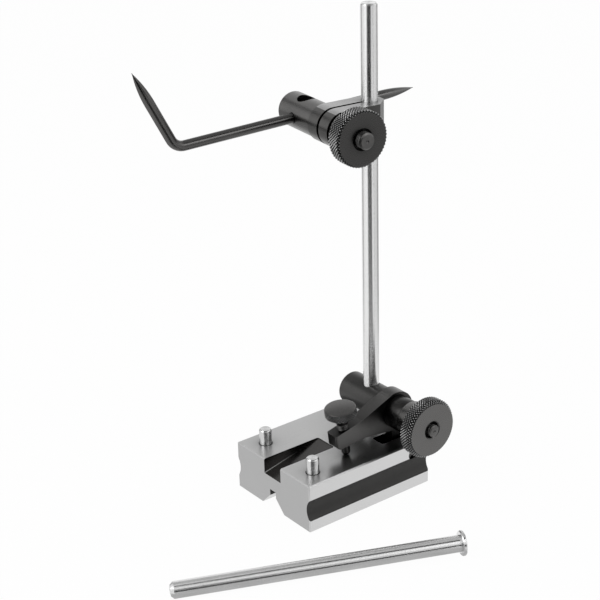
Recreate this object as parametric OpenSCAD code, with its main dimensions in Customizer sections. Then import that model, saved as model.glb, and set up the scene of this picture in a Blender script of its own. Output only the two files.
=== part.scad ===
// Surface gauge: a ground base block with a rocking arm, a swivelling spindle,
// a split clamp on the spindle and a double-ended scriber, with a spare short spindle.
// Millimetres, +Z up. The origin is the middle of the base block's sole,
// +X runs along the block to its spindle end and -Y is the clamp knob's side.

/* [Base block] */
// Length of the block
base_l = 76; // [70:1:90]
// Width of the block
base_w = 58; // [56:1:70]
// Height of the block
base_h = 25.4; // [24:0.2:30]
// Chamfer on the block's edges
base_edge = 0.6; // [0.2:0.1:1]
// Height of the lower edge of the hollows along the long sides
hollow_low = 6.4; // [4:0.2:8]
// Height of the upper edge of the hollows along the long sides
hollow_high = 17.6; // [14:0.2:17.6]
// Depth of the hollows
hollow_d = 2.2; // [1:0.1:3]

/* [V-groove] */
// Width of the V-groove at the sole
vee_w = 18.6; // [14:0.2:19]
// Width of the relief cut above the V-groove
relief_w = 4.6; // [3:0.1:6]
// Height of the top of the relief above the sole
relief_top = 10.3; // [10:0.1:11]

/* [Ramped slot] */
// Width of the slot in the block's top
ramp_w = 13; // [10:0.5:15]
// Length of the slot from the end face
ramp_l = 33.6; // [26:0.2:36]
// Height of the slot's floor at the end face
ramp_z = 17.6; // [15:0.2:20]
// Depth of the slot at its inner end
ramp_lip = 0.4; // [0.2:0.1:1]
// Radius of the slots' inner corners
slot_corner = 1.2; // [0.6:0.1:2]

/* [Guide pins] */
// Diameter of the guide pins
guide_d = 6.3; // [5:0.1:7]
// Distance of the pins from the slot's end face
guide_end_gap = 10.3; // [8:0.1:12]
// Distance of the pins from the long sides
guide_side_gap = 10.1; // [9:0.1:11]
// How far the pins stand above the block
guide_up = 8; // [6:0.5:10]
// Height of the pins' lower ends above the sole
guide_low = 0.6; // [0.4:0.1:1]
// Chamfer on the pins' ends
guide_edge = 0.8; // [0.4:0.1:1.2]
// Thickness of the wire of the friction rings
ring_wire = 1; // [0.8:0.1:1.2]

/* [Rocker] */
// Width of the rocker's slot in the block
rocker_slot_w = 8; // [7.8:0.1:9]
// Length of the rocker's slot from the end face
rocker_slot_l = 22.5; // [21:0.1:24]
// Depth of the rocker's slot
rocker_slot_depth = 13; // [12.4:0.1:13.4]
// Thickness of the rocking arm
arm_t = 7.5; // [6.5:0.1:7.7]
// Diameter of the arm's hub
hub_d = 20.4; // [18:0.2:21]
// Height of the swivel's axis above the block's top
hub_h = 15.3; // [14.6:0.1:18]
// Angle by which the arm's nose hangs at rest
arm_drop = 7.5; // [6:0.1:8]
// Length of the arm from the hub's axis to the nose
arm_l = 38.4; // [36:0.2:42]
// Height of the nose's top above the arm's centre line
nose_up = 3.6; // [3:0.1:4.6]
// Depth of the nose's underside below the arm's centre line
nose_down = 4.2; // [3.8:0.1:4.8]
// Distance from the hub's axis at which the arm widens towards the hub
waist_x = 21.6; // [19:0.1:24]
// Height of the arm's top there above its centre line
waist_up = 5; // [4.8:0.1:6]
// Depth of the arm's underside there below its centre line
waist_down = 5.1; // [4.9:0.1:6]
// Radius of the nose's upright corners
nose_round = 1.2; // [0.8:0.1:2]
// Radius of the nose's lower corner
nose_heel = 2.6; // [1:0.1:3]
// Distance of the pivot from the block's end face
pivot_end_gap = 10.4; // [10:0.1:10.8]
// Depth of the pivot's axis below the block's top
pivot_drop = 6.1; // [5:0.1:6.4]
// Diameter of the pivot pin
pivot_d = 5.8; // [5:0.1:6]
// Length of the pivot pin
pivot_l = 24; // [22:0.5:26]
// How far the pivot pin's end lies under the block's side
pivot_sunk = 2; // [0.4:0.1:3]
// Diameter of the boss round the pivot
lug_d = 9.2; // [8.6:0.1:9.4]
// Thickness of the lug between the hub and the pivot
lug_t = 5; // [4:0.1:6]
// Height of the rocker's tail
tail_h = 4.8; // [4:0.1:5.4]
// Length of the rocker's tail from the pivot to its end
tail_l = 9.8; // [9.4:0.1:9.9]

/* [Rocker spring] */
// Outside diameter of the spring
spring_d = 4.6; // [4:0.1:4.8]
// Thickness of the spring's wire
spring_wire = 0.7; // [0.5:0.1:0.8]
// Number of turns
spring_turns = 6; // [5:1:7]
// Height of the pocket's floor above the sole
spring_floor = 5.4; // [4:0.2:7]
// Clearance round the spring in its pocket
spring_gap = 0.4; // [0.3:0.1:0.5]
// Distance of the spring's axis from the rocker's pivot
spring_arm = 6.2; // [6:0.1:6.6]

/* [Fine adjustment screw] */
// Diameter of the screw
screw_d = 5.6; // [5:0.1:6]
// Distance of the screw's axis from the hub's axis along the arm
screw_x = 31.1; // [30:0.1:33]
// Clearance under the screw's round foot
foot_gap = 0.05; // [0.05:0.01:0.1]
// Diameter of the screw's plain lower end
screw_end_d = 4.4; // [4:0.1:4.8]
// Length of the screw's plain lower end
screw_end_l = 3.6; // [3:0.1:4]
// Diameter of the neck under the head
screw_neck_d = 8.2; // [6:0.1:9]
// Length of the neck's straight part
screw_neck_l = 2.2; // [1.6:0.1:2.4]
// Length of the neck's taper
screw_taper_l = 2.2; // [1:0.1:2.4]
// Diameter of the knurled head
screw_head_d = 16; // [13:0.2:17]
// Height of the knurled head
screw_head_h = 4.5; // [3.5:0.1:5.5]
// Height of the head's top above the arm's centre line
screw_top = 15.8; // [15.8:0.1:17]
// Chamfer of the head's edges
screw_head_edge = 0.6; // [0.3:0.1:1]

/* [Swivels] */
// Outside diameter of the two swivel barrels
barrel_d = 16.8; // [16:0.1:17.5]
// Length of the two swivel barrels
barrel_l = 28; // [27:0.5:30]
// Rounding of a barrel's closed end
barrel_round = 1.2; // [0.8:0.1:3]
// Distance of the lower barrel's cross hole from its open end
cross_y = 12; // [11:0.1:13]
// Distance of the upper barrel's cross holes from its open end
upper_cross_y = 15; // [14:0.1:16]
// Diameter of a barrel's bore for the draw bolt
bolt_bore_d = 11; // [10.6:0.1:11.6]
// Depth of that bore
bolt_bore_l = 23; // [22.4:0.1:24]
// Running clearance on each side of pins, bolts, spindle and scriber
run_gap = 0.05; // [0.03:0.01:0.08]
// Clearance on each side of a rod in a barrel's cross hole
cross_gap = 0.25; // [0.15:0.01:0.4]
// Diameter of the lower draw bolt's stem
lower_stem_d = 6; // [5:0.1:6.6]
// Diameter of the upper draw bolt's stem
upper_stem_d = 8; // [7:0.1:8.6]
// How far a stem's end lies under the face of its knob or nut
stem_sunk = 0.9; // [0.4:0.1:1.2]
// Depth of a draw bolt's shoulder inside the barrel
bolt_in = 1; // [0.6:0.1:1.6]
// Space between a draw bolt's end and the bore's bottom
bolt_end_gap = 0.8; // [0.6:0.1:1.2]

/* [Clamp knob] */
// Diameter of the spacer between the hub and the knob
spacer_d = 16.8; // [15:0.1:17.8]
// Length of the spacer
spacer_l = 10; // [9.8:0.1:12]
// Diameter of the knob's boss
knob_boss_d = 18.1; // [16:0.1:20]
// Length of the knob's boss
knob_boss_l = 9.2; // [8:0.1:11]
// Diameter of the knob's knurled rim
knob_d = 30.2; // [27:0.2:30.4]
// Width of the knurled rim
knob_rim_l = 4.8; // [4:0.1:7]
// Diameter of the knob's flat face
knob_face_d = 27.1; // [24:0.1:28]
// Length of the bevel between the rim and the face
knob_bevel_l = 2.1; // [1:0.1:3]
// Diameter of the hole in the knob's face
knob_hole_d = 9.4; // [8.6:0.1:11]
// Depth of the hole in the knob's face
knob_hole_l = 3; // [2:0.1:4]

/* [Spindle] */
// Diameter of the spindles
spindle_d = 8; // [7.6:0.1:8.2]
// Distance of the spindle's axis from the block's end face
spindle_end_gap = 13; // [12:0.1:14]
// Height of the spindle's top above the sole
spindle_top = 241; // [225:1:300]
// How far the spindle's lower end stands out of the barrel
spindle_stub = 1.7; // [0.8:0.1:2.2]
// Chamfer on the spindles' ends
spindle_edge = 0.6; // [0.3:0.1:1]

/* [Spindle clamp] */
// Height of the upper swivel's axis above the sole
clamp_z = 186.2; // [150:0.2:195]
// Angle by which the clamp is turned about the spindle
clamp_turn = -6.2; // [-20:0.1:10]
// Distance from the spindle's axis to the upper swivel's axis
clamp_reach = 19.8; // [18:0.1:22]
// Height of the clamp's body
clamp_h = 17.9; // [17:0.1:20]
// Thickness of the front jaw, from the middle of the slit
jaw_front = 8; // [7.6:0.1:9]
// Thickness of the rear jaw, from the middle of the slit
jaw_rear = 8.4; // [7.6:0.1:9]
// Width of the slit
slit_w = 1.7; // [0.5:0.1:2]
// Distance of the clamp's end face from the spindle's axis
clamp_end = 6.8; // [6.6:0.1:8]
// Distance of the chamfered corners from the spindle's axis
clamp_corner = 6.15; // [6:0.05:7]

/* [Scriber nut] */
// Diameter of the washer under the nut
washer_d = 14; // [12:0.1:17.4]
// Thickness of the washer
washer_t = 3.1; // [1:0.1:4]
// Diameter of the nut's boss
nut_boss_d = 20; // [16:0.1:21]
// Length of the nut's boss
nut_boss_l = 5.3; // [4:0.1:8]
// Diameter of the nut's knurled rim
nut_d = 27.2; // [25.4:0.2:28]
// Width of the nut's knurled rim
nut_rim_l = 7; // [5:0.1:9]
// Diameter of the nut's face
nut_face_d = 25.2; // [20:0.2:25.2]
// Length of the bevel between the rim and the face
nut_bevel_l = 0.8; // [0.5:0.1:1.5]
// Diameter of the hole in the nut's face
nut_hole_d = 10.4; // [10:0.1:12]
// Depth of the hole in the nut's face
nut_hole_l = 2; // [1.4:0.1:3]

/* [Scriber] */
// Diameter of the scriber
scriber_d = 4.9; // [4:0.1:5.4]
// Angle by which the straight point is raised
scriber_tilt = 2.5; // [-20:0.1:20]
// Distance from the swivel to the straight point
scriber_front = 61; // [50:1:80]
// Distance from the swivel to the bend
scriber_back = 70; // [55:0.5:85]
// Length of the bent leg
scriber_leg = 42.2; // [38:0.1:50]
// Angle between the bent leg and the straight part produced
scriber_bend = 65.6; // [45:0.1:90]
// Radius of the bend's centre line
scriber_bend_r = 7; // [3:0.1:9]
// Length of the straight point's taper
front_taper = 18; // [12:0.5:24]
// Length of the bent leg's taper
leg_taper = 17; // [12:0.5:20]
// Diameter of the points' ends
point_d = 0.3; // [0.2:0.05:0.6]

/* [Short spindle] */
// Length of the short spindle
short_l = 137.9; // [120:0.1:180]
// Distance of its left end in front of the block's middle
short_y = 31.1; // [28:0.1:45]
// Distance of its left end to the left of the block's middle
short_x = 119.2; // [110:0.1:140]
// Angle at which it lies
short_turn = 24.7; // [20:0.1:30]
// Diameter of its collar
collar_d = 12; // [10:0.1:14]
// Thickness of its collar
collar_t = 1.8; // [1:0.1:3]
// Chamfer on its left end
short_edge = 1.6; // [0.4:0.1:2]

/* [Hidden] */
$fn = 96;

// overrun of every cut
cut = 1;
// clearance of a seat that doesn't move
seat_gap = 0.01;
// clearance of a bolt's stem in a plain hole
stem_gap = 0.15;
// depth of the countersinks of the pin holes
sink = 0.4;
// chamfer of turned edges
turned_edge = 0.4;
// how far joined pieces of one solid run into each other
lap = 0.3;
// how far the arm's straight edges run into its round hub
blend = 0.06;
// how much thinner on each side the scriber is round its bend
bend_ease = 0.1;

// side hollows
hollow_z = (hollow_low + hollow_high) / 2;
hollow_chord = hollow_high - hollow_low;
hollow_r = (hollow_chord * hollow_chord / 4 + hollow_d * hollow_d) / (2 * hollow_d);

// guide pins
guide_x = -base_l / 2 + guide_end_gap;
guide_y = base_w / 2 - guide_side_gap;
guide_hole_d = guide_d + 4 * run_gap;
ring_z = base_h / 2;
ring_r = guide_hole_d / 2 - seat_gap - ring_wire / 2;
ring_groove_d = 2 * (ring_r - ring_wire / 2 - run_gap);
ring_split = 30;

// swivel axis, arm and pivot
spindle_x = base_l / 2 - spindle_end_gap;
hub_z = base_h + hub_h;
arm_far = -cross_y;
arm_near = arm_far - arm_t;
arm_y = (arm_far + arm_near) / 2;
pivot_x = base_l / 2 - pivot_end_gap;
pivot_z = base_h - pivot_drop;
slot_floor = base_h - rocker_slot_depth;
spring_x = pivot_x + spring_arm;
spring_pocket_d = spring_d + 2 * spring_gap;
tail_under = pivot_z - tail_h / 2;
foot_z = (base_h + foot_gap + screw_end_d / 2 - hub_z + screw_x * sin(arm_drop)) / cos(arm_drop);
neck_top = screw_top - screw_head_h;

// knob and nut
spacer_end = arm_near - spacer_l;
knob_l = knob_boss_l + knob_rim_l + knob_bevel_l;
knob_face = spacer_end - knob_l;
nut_start = jaw_front + washer_t;
nut_l = nut_boss_l + nut_rim_l + nut_bevel_l;

// bolts
bolt_head_d = bolt_bore_d - 2 * run_gap;
bolt_head_l = bolt_bore_l - bolt_in - bolt_end_gap;

// spindle
spindle_low = hub_z - barrel_d / 2 - spindle_stub;

// short spindle, lying on its left end and its collar
short_lift = asin((collar_d - spindle_d) / 2 / (short_l - collar_t));

// a rectangle with bevelled corners, about the origin
module bevelled(a, b, c) {
    polygon([
        [-a / 2 + c, -b / 2], [a / 2 - c, -b / 2], [a / 2, -b / 2 + c], [a / 2, b / 2 - c],
        [a / 2 - c, b / 2], [-a / 2 + c, b / 2], [-a / 2, b / 2 - c], [-a / 2, -b / 2 + c]
    ]);
}

// a rectangle from x0 to x1 with round corners
module rounded(x0, x1, w, r) {
    translate([x0 + r, -w / 2])
        square([x1 - x0 - 2 * r, w]);
    translate([x0, -w / 2 + r])
        square([x1 - x0, w - 2 * r]);
    for (x = [x0 + r, x1 - r], y = [-w / 2 + r, w / 2 - r])
        translate([x, y])
            circle(r);
}

// a bar with round ends between two points
module bar(p, q, d) {
    translate(p)
        circle(d = d);
    translate(q)
        circle(d = d);
    translate(p)
        rotate(atan2(q[1] - p[1], q[0] - p[0]))
            translate([0, -d / 2])
                square([norm(q - p), d]);
}

// where a line from point p touches a circle about the origin
function touch(p, r, side) =
    let (a = atan2(p[1], p[0]) + side * acos(r / norm(p)))
    [r * cos(a), r * sin(a)];

// a turned rod along +Z with chamfered ends
module rod(d, l, low_edge, top_edge) {
    rotate_extrude()
        polygon([
            [0, 0], [d / 2 - low_edge, 0], [d / 2, low_edge],
            [d / 2, l - top_edge], [d / 2 - top_edge, l], [0, l]
        ]);
}

// half the outline of a slender point of length l that meets a rod of diameter d
function point_outline(d, l, steps) =
    let (r = (l * l + d * d / 4) / d)
    [
        for (i = [0:steps])
            let (z = l * i / steps)
            [max(sqrt(r * r - z * z) - r + d / 2, point_d / 2), z]
    ];

// a rod along +Z that ends in a point
module pointed_rod(d, l, taper) {
    rotate_extrude()
        polygon(concat(
            [[0, 0], [d / 2, 0]],
            [for (p = point_outline(d, taper, 8)) [p[0], p[1] + l - taper]],
            [[0, l]]
        ));
}

// points of a coil's wire, one ring of sides after another
function coil_points(r, wire, z0, z1, turns, per_turn, sides) = [
    for (i = [0:turns * per_turn])
        let (a = 360 * i / per_turn, z = z0 + (z1 - z0) * i / (turns * per_turn))
        for (j = [0:sides - 1])
            let (b = 360 * j / sides)
            [(r + wire * cos(b)) * cos(a), (r + wire * cos(b)) * sin(a), z + wire * sin(b)]
];

// triangles of a tube of rings, with flat ends
function tube_faces(rings, sides) = concat(
    [
        for (i = [0:rings - 2], j = [0:sides - 1])
            [i * sides + j, (i + 1) * sides + j, (i + 1) * sides + (j + 1) % sides]
    ],
    [
        for (i = [0:rings - 2], j = [0:sides - 1])
            [i * sides + j, (i + 1) * sides + (j + 1) % sides, i * sides + (j + 1) % sides]
    ],
    [for (j = [1:sides - 2]) [0, j, j + 1]],
    [for (j = [1:sides - 2]) [(rings - 1) * sides, (rings - 1) * sides + j + 1, (rings - 1) * sides + j]]
);

// places what is drawn about the lower swivel's axis
module at_hub() {
    translate([spindle_x, 0, hub_z])
        children();
}

// places what is drawn along the arm, which hangs at rest
module at_arm() {
    translate([spindle_x, arm_y, hub_z])
        rotate([0, -arm_drop, 0])
            children();
}

// places what is drawn about the spindle at the clamp's height
module at_clamp() {
    translate([spindle_x, 0, clamp_z])
        rotate(clamp_turn)
            children();
}

// places what is drawn about the upper swivel's axis, from the rear jaw's face
module at_swivel() {
    at_clamp()
        translate([-clamp_reach, jaw_rear, 0])
            rotate([0, -scriber_tilt, 0])
                children();
}

// a swivel barrel along +Y with its open end at the origin and its cross hole at y
module barrel(y) {
    difference() {
        rotate([-90, 0, 0])
            rotate_extrude() {
                square([barrel_d / 2, barrel_l - barrel_round]);
                square([barrel_d / 2 - barrel_round, barrel_l]);
                translate([barrel_d / 2 - barrel_round, barrel_l - barrel_round])
                    circle(barrel_round);
            }
        translate([0, -cut, 0])
            rotate([-90, 0, 0])
                cylinder(d = bolt_bore_d, h = bolt_bore_l + cut);
        translate([0, y, 0])
            cylinder(d = spindle_d + 2 * cross_gap, h = barrel_d + 2 * cut, center = true);
    }
}

// a draw bolt along +Y, its stem reaching back to -stem_l
module draw_bolt(stem_d, stem_l) {
    translate([0, bolt_in, 0])
        rotate([-90, 0, 0])
            rod(bolt_head_d, bolt_head_l, turned_edge, turned_edge);
    translate([0, -stem_l, 0])
        rotate([-90, 0, 0])
            rod(stem_d, stem_l + bolt_in, turned_edge, 0);
}

// half the outline of a knob that starts at its boss
function knob_outline(boss_d, boss_l, rim_d, rim_l, face_d, bevel_l, hole_d, hole_l, bore_d) =
    let (l = boss_l + rim_l + bevel_l)
    [
        [bore_d / 2, 0], [boss_d / 2 - turned_edge, 0], [boss_d / 2, turned_edge],
        [boss_d / 2, boss_l], [rim_d / 2 - turned_edge, boss_l],
        [rim_d / 2, boss_l + turned_edge], [rim_d / 2, boss_l + rim_l],
        [face_d / 2, l], [hole_d / 2, l], [hole_d / 2 - turned_edge, l - turned_edge],
        [hole_d / 2 - turned_edge, l - hole_l], [bore_d / 2, l - hole_l]
    ];

module base_block() {
    color("gainsboro")
        difference() {
            intersection() {
                translate([0, 0, base_h / 2])
                    rotate([90, 0, 90])
                        linear_extrude(base_l, center = true)
                            bevelled(base_w, base_h, base_edge);
                translate([0, 0, base_h / 2])
                    rotate([90, 0, 0])
                        linear_extrude(base_w, center = true)
                            bevelled(base_l, base_h, base_edge);
                linear_extrude(base_h)
                    bevelled(base_l, base_w, base_edge);
            }
            // hollows along both long sides
            for (s = [-1, 1])
                translate([0, s * (base_w / 2 + hollow_r - hollow_d), hollow_z])
                    rotate([0, 90, 0])
                        cylinder(r = hollow_r, h = base_l + 2 * cut, center = true);
            // V-groove and relief
            rotate([90, 0, 90])
                linear_extrude(base_l + 2 * cut, center = true) {
                    polygon([[-vee_w / 2 - cut, -cut], [vee_w / 2 + cut, -cut], [0, vee_w / 2]]);
                    translate([-relief_w / 2, 0])
                        square([relief_w, relief_top]);
                }
            // ramped slot
            intersection() {
                rotate([90, 0, 0])
                    linear_extrude(ramp_w + 2 * cut, center = true)
                        ramp_side();
                linear_extrude(base_h + 2 * cut)
                    rounded(-base_l / 2 - cut - slot_corner, -base_l / 2 + ramp_l, ramp_w, slot_corner);
            }
            // rocker's slot, pivot bore and spring pocket
            translate([0, arm_y, slot_floor])
                linear_extrude(rocker_slot_depth + cut)
                    rounded(base_l / 2 - rocker_slot_l, base_l / 2 + cut + slot_corner, rocker_slot_w, slot_corner);
            translate([pivot_x, -base_w / 2 - cut, pivot_z])
                rotate([-90, 0, 0])
                    cylinder(d = pivot_d + 2 * seat_gap, h = cut + pivot_sunk + pivot_l);
            translate([spring_x, arm_y, spring_floor])
                cylinder(d = spring_pocket_d, h = slot_floor - spring_floor + cut);
            // guide pin holes
            for (y = [-guide_y, guide_y])
                translate([guide_x, y, 0]) {
                    translate([0, 0, -cut])
                        cylinder(d = guide_hole_d, h = base_h + 2 * cut);
                    translate([0, 0, base_h - sink])
                        cylinder(d1 = guide_hole_d, d2 = guide_hole_d + 2 * (sink + cut), h = sink + cut);
                    translate([0, 0, -cut])
                        cylinder(d1 = guide_hole_d + 2 * (sink + cut), d2 = guide_hole_d, h = sink + cut);
                }
        }
}

// side view of the ramped slot
module ramp_side() {
    rise = (base_h - ramp_lip - ramp_z) / ramp_l;
    polygon([
        [-base_l / 2 - cut, ramp_z - rise * cut], [-base_l / 2 + ramp_l, base_h - ramp_lip],
        [-base_l / 2 + ramp_l, base_h + cut], [-base_l / 2 - cut, base_h + cut]
    ]);
}

module guide_pin(y) {
    color("silver")
        translate([guide_x, y, guide_low])
            difference() {
                rod(guide_d, base_h + guide_up - guide_low, guide_edge, guide_edge);
                translate([0, 0, ring_z - guide_low - ring_wire / 2 - run_gap])
                    difference() {
                        cylinder(d = guide_d + 2 * cut, h = ring_wire + 2 * run_gap);
                        cylinder(d = ring_groove_d, h = ring_wire + 2 * run_gap);
                    }
            }
}

module pin_ring(y) {
    color("dimgray")
        translate([guide_x, y, ring_z])
            rotate(ring_split / 2)
                rotate_extrude(angle = 360 - ring_split)
                    translate([ring_r, 0])
                        circle(d = ring_wire);
}

module guide_pin_near() {
    guide_pin(-guide_y);
}

module guide_pin_far() {
    guide_pin(guide_y);
}

module pin_ring_near() {
    pin_ring(-guide_y);
}

module pin_ring_far() {
    pin_ring(guide_y);
}

module rocker_pivot_pin() {
    color("dimgray")
        translate([pivot_x, -base_w / 2 + pivot_sunk, pivot_z])
            rotate([-90, 0, 0])
                rod(pivot_d, pivot_l, turned_edge, turned_edge);
}

module rocker_spring() {
    turns_at = 8;
    sides = 6;
    color("darkgray")
        translate([spring_x, arm_y, 0])
            polyhedron(
                coil_points(
                    (spring_d - spring_wire) / 2, spring_wire / 2,
                    spring_floor + spring_wire / 2 + seat_gap,
                    tail_under - spring_wire / 2 - seat_gap,
                    spring_turns, turns_at, sides
                ),
                tube_faces(spring_turns * turns_at + 1, sides)
            );
}

// side view of the arm, its hub at the origin
module arm_side() {
    top = [-waist_x, waist_up];
    low = [-waist_x, -waist_down];
    fall = atan2(waist_down - nose_down, arm_l - waist_x);
    heel_z = -nose_down + nose_heel * (1 / cos(fall) - tan(fall));
    heel_steps = 6;
    polygon(concat(
        [
            for (i = [0:heel_steps])
                let (a = 180 + (90 - fall) * i / heel_steps)
                [-arm_l + nose_heel * (1 + cos(a)), heel_z + nose_heel * sin(a)]
        ],
        [low, touch(low, hub_d / 2 - blend, 1), [0, 0], touch(top, hub_d / 2 - blend, -1), top, [-arm_l, nose_up]]
    ));
    circle(d = hub_d);
}

module rocker_arm() {
    neck = [pivot_x - spindle_x, -hub_d / 4];
    pivot = [pivot_x - spindle_x, pivot_z - hub_z];
    tail_end = [pivot[0] + tail_l - tail_h / 2, pivot[1]];
    color([0.3, 0.3, 0.3])
        difference() {
            union() {
                at_arm()
                    intersection() {
                        rotate([90, 0, 0])
                            linear_extrude(arm_t, center = true)
                                arm_side();
                        translate([0, 0, -hub_d])
                            linear_extrude(2 * hub_d)
                                rounded(-arm_l, hub_d, arm_t, nose_round);
                    }
                translate([spindle_x, arm_y, hub_z])
                    rotate([90, 0, 0]) {
                        linear_extrude(lug_t, center = true) {
                            bar(neck, pivot, lug_d);
                            bar(pivot, tail_end, tail_h);
                        }
                        translate(pivot)
                            cylinder(d = lug_d, h = arm_t, center = true);
                    }
            }
            at_hub()
                rotate([90, 0, 0])
                    cylinder(d = lower_stem_d + 2 * run_gap, h = 2 * (cross_y + arm_t + cut), center = true);
            translate([pivot_x, arm_y, pivot_z])
                rotate([90, 0, 0])
                    cylinder(d = pivot_d + 2 * run_gap, h = arm_t + 2 * cut, center = true);
            at_arm()
                translate([-screw_x, 0, 0])
                    cylinder(d = screw_d + 2 * run_gap, h = hub_d, center = true);
        }
}

module fine_adjust_screw() {
    color([0.3, 0.3, 0.3])
        at_arm()
            translate([-screw_x, 0, 0]) {
                translate([0, 0, foot_z])
                    sphere(d = screw_end_d);
                translate([0, 0, foot_z])
                    cylinder(d = screw_end_d, h = screw_end_l + lap);
                translate([0, 0, foot_z + screw_end_l])
                    cylinder(d = screw_d, h = neck_top - screw_neck_l - foot_z - screw_end_l);
                translate([0, 0, neck_top - screw_neck_l - screw_taper_l])
                    cylinder(d1 = screw_d, d2 = screw_neck_d, h = screw_taper_l);
                translate([0, 0, neck_top - screw_neck_l])
                    cylinder(d = screw_neck_d, h = screw_neck_l + lap);
                translate([0, 0, neck_top])
                    rod(screw_head_d, screw_head_h, screw_head_edge, screw_head_edge);
            }
}

module spindle_barrel() {
    color([0.35, 0.35, 0.35])
        at_hub()
            translate([0, -cross_y, 0])
                barrel(cross_y);
}

module spindle_bolt() {
    color([0.5, 0.5, 0.5])
        at_hub()
            difference() {
                translate([0, -cross_y, 0])
                    draw_bolt(lower_stem_d, -cross_y - knob_face - stem_sunk);
                cylinder(d = spindle_d + 2 * run_gap, h = 2 * barrel_d, center = true);
            }
}

module clamp_spacer() {
    color([0.35, 0.35, 0.35])
        at_hub()
            translate([0, arm_near, 0])
                rotate([90, 0, 0])
                    difference() {
                        rod(spacer_d, spacer_l, turned_edge, turned_edge);
                        translate([0, 0, -cut])
                            cylinder(d = lower_stem_d + 2 * stem_gap, h = spacer_l + 2 * cut);
                    }
}

module clamp_knob() {
    color([0.4, 0.4, 0.4])
        at_hub()
            translate([0, spacer_end, 0])
                rotate([90, 0, 0])
                    rotate_extrude()
                        polygon(knob_outline(
                            knob_boss_d, knob_boss_l, knob_d, knob_rim_l, knob_face_d,
                            knob_bevel_l, knob_hole_d, knob_hole_l, lower_stem_d + 2 * run_gap
                        ));
}

module spindle() {
    color("silver")
        translate([spindle_x, 0, spindle_low])
            rod(spindle_d, spindle_top - spindle_low, spindle_edge, spindle_edge);
}

// side view of the split clamp, the spindle at x = 0
module clamp_side() {
    translate([-clamp_reach, 0])
        circle(d = clamp_h);
    translate([-clamp_reach, -clamp_h / 2])
        square([clamp_reach + clamp_end, clamp_h]);
}

// plan of the split clamp, with its corners cut off beside the spindle
module clamp_plan() {
    reach = clamp_corner * sqrt(2);
    polygon([
        [-clamp_reach - clamp_h / 2, -jaw_front], [reach - jaw_front, -jaw_front],
        [clamp_end, clamp_end - reach], [clamp_end, reach - clamp_end],
        [reach - jaw_rear, jaw_rear], [-clamp_reach - clamp_h / 2, jaw_rear]
    ]);
}

module spindle_clamp_body() {
    color([0.35, 0.35, 0.35])
        at_clamp()
            difference() {
                intersection() {
                    rotate([90, 0, 0])
                        linear_extrude(2 * (jaw_front + jaw_rear), center = true)
                            clamp_side();
                    translate([0, 0, -clamp_h])
                        linear_extrude(2 * clamp_h)
                            clamp_plan();
                }
                cylinder(d = spindle_d + 2 * run_gap, h = 2 * clamp_h, center = true);
                translate([-clamp_reach - clamp_h, -slit_w / 2, -clamp_h])
                    cube([clamp_reach + clamp_h, slit_w, 2 * clamp_h]);
                translate([-clamp_reach, 0, 0])
                    rotate([90, 0, 0])
                        cylinder(d = upper_stem_d + 2 * run_gap, h = 2 * (jaw_front + jaw_rear), center = true);
            }
}

module scriber_washer() {
    color([0.35, 0.35, 0.35])
        at_clamp()
            translate([-clamp_reach, -jaw_front, 0])
                rotate([90, 0, 0])
                    difference() {
                        rod(washer_d, washer_t, 0, turned_edge);
                        translate([0, 0, -cut])
                            cylinder(d = upper_stem_d + 2 * stem_gap, h = washer_t + 2 * cut);
                    }
}

module scriber_barrel() {
    color([0.35, 0.35, 0.35])
        at_swivel()
            difference() {
                barrel(upper_cross_y);
                translate([0, upper_cross_y, 0])
                    rotate([0, 90, 0])
                        cylinder(d = scriber_d + 2 * cross_gap, h = barrel_d + 2 * cut, center = true);
            }
}

module scriber_bolt() {
    color([0.5, 0.5, 0.5])
        at_swivel()
            difference() {
                draw_bolt(upper_stem_d, jaw_rear + nut_start + nut_l - stem_sunk);
                translate([0, upper_cross_y, 0])
                    rotate([0, 90, 0])
                        cylinder(d = scriber_d + 2 * run_gap, h = 2 * barrel_d, center = true);
            }
}

module scriber_nut() {
    color([0.4, 0.4, 0.4])
        at_clamp()
            translate([-clamp_reach, -nut_start, 0])
                rotate([90, 0, 0])
                    rotate_extrude()
                        polygon(knob_outline(
                            nut_boss_d, nut_boss_l, nut_d, nut_rim_l, nut_face_d,
                            nut_bevel_l, nut_hole_d, nut_hole_l, upper_stem_d + 2 * run_gap
                        ));
}

module scriber() {
    bend_in = scriber_bend_r * tan(scriber_bend / 2);
    straight_back = scriber_back - bend_in;
    leg_x = -scriber_back - bend_in * cos(scriber_bend);
    leg_z = bend_in * sin(scriber_bend);
    color([0.25, 0.25, 0.25])
        at_swivel()
            translate([0, upper_cross_y, 0]) {
                translate([-straight_back - lap, 0, 0])
                    rotate([0, 90, 0])
                        pointed_rod(scriber_d, straight_back + lap + scriber_front, front_taper);
                translate([-straight_back, 0, scriber_bend_r])
                    rotate([90, 0, 0])
                        rotate(-90 - scriber_bend)
                            rotate_extrude(angle = scriber_bend)
                                translate([scriber_bend_r, 0])
                                    circle(d = scriber_d - 2 * bend_ease);
                translate([leg_x, 0, leg_z])
                    rotate([0, scriber_bend - 90, 0])
                        translate([0, 0, -lap])
                            pointed_rod(scriber_d, scriber_leg - bend_in + lap, leg_taper);
            }
}

// places what is drawn along the short spindle, from its left end
module at_short() {
    translate([-short_x, -short_y, spindle_d / 2])
        rotate([0, 90 - short_lift, -short_turn])
            children();
}

module short_spindle() {
    color("silver")
        at_short()
            rod(spindle_d, short_l - collar_t, short_edge, 0);
}

module short_spindle_collar() {
    color("lightgray")
        at_short()
            translate([0, 0, short_l - collar_t])
                rod(collar_d, collar_t, turned_edge, turned_edge);
}

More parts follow.
